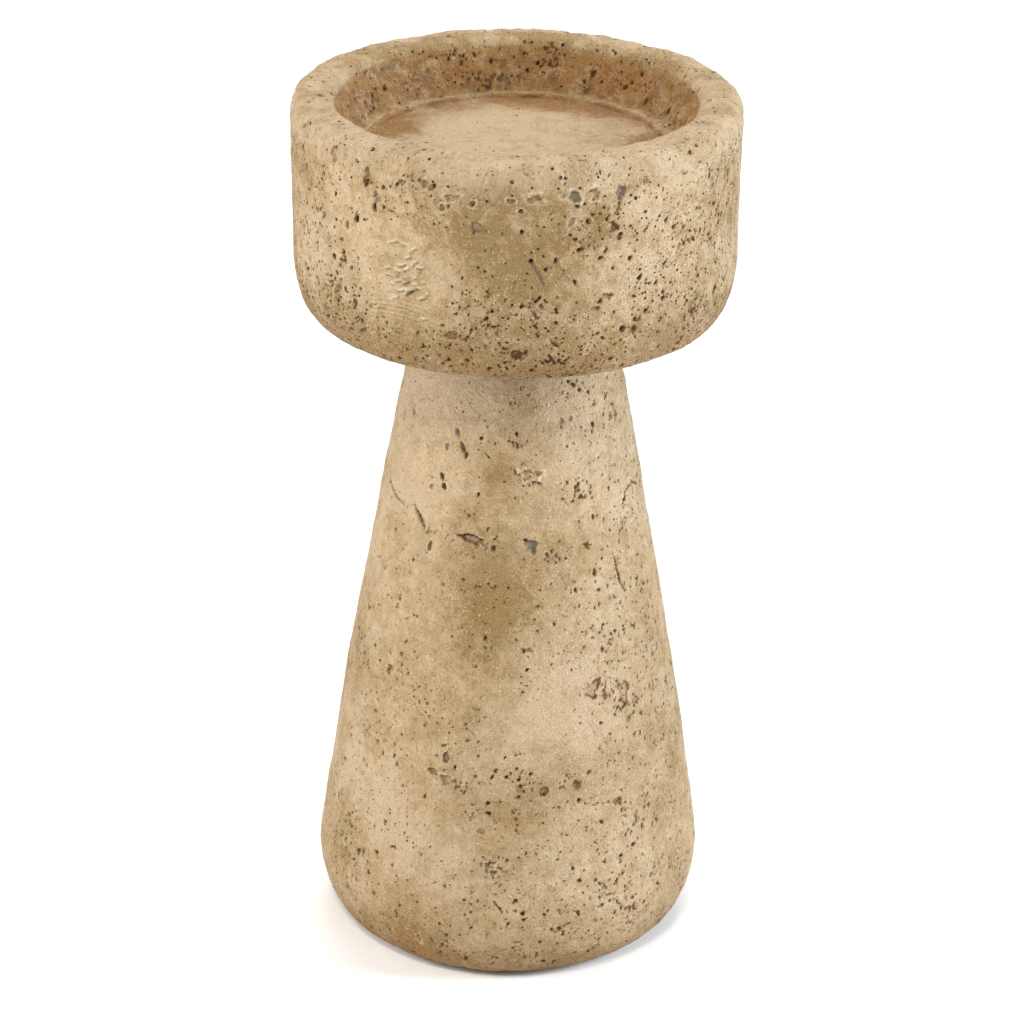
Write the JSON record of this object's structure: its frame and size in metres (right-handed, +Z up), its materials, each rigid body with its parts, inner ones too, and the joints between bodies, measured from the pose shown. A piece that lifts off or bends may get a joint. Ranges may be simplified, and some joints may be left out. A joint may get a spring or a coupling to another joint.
{
  "type": "pillar candle holder",
  "caption": "Pillar candle holder: a shallow round cup of cast travertine-look stone on a tall conical pedestal, tied together inside.",
  "frame": {"origin": "centre of the felt pad's underside, where the holder stands on a table", "axes": "+Z up along the holder's axis, from the felt pad to the cup's rim; the holder is round, so X and Y are equal"},
  "size_m": [0.132, 0.132, 0.269],
  "materials": {
    "cup_stone": "matte",
    "pedestal_stone": "matte",
    "felt": "matte",
    "hardboard": "matte",
    "cork": "matte",
    "insert_brass": "satin",
    "zinc_steel": "satin"
  },
  "bodies": {
    "root": {"felt_pad": "felt", "base_board": "hardboard", "pedestal": "pedestal_stone", "candle_cup": "cup_stone", "joint_gasket": "cork", "threaded_insert": "insert_brass", "tie_rod": "zinc_steel", "fender_washer": "zinc_steel", "spring_washer": "zinc_steel", "hex_nut": "zinc_steel"}
  },
  "joints": []
}
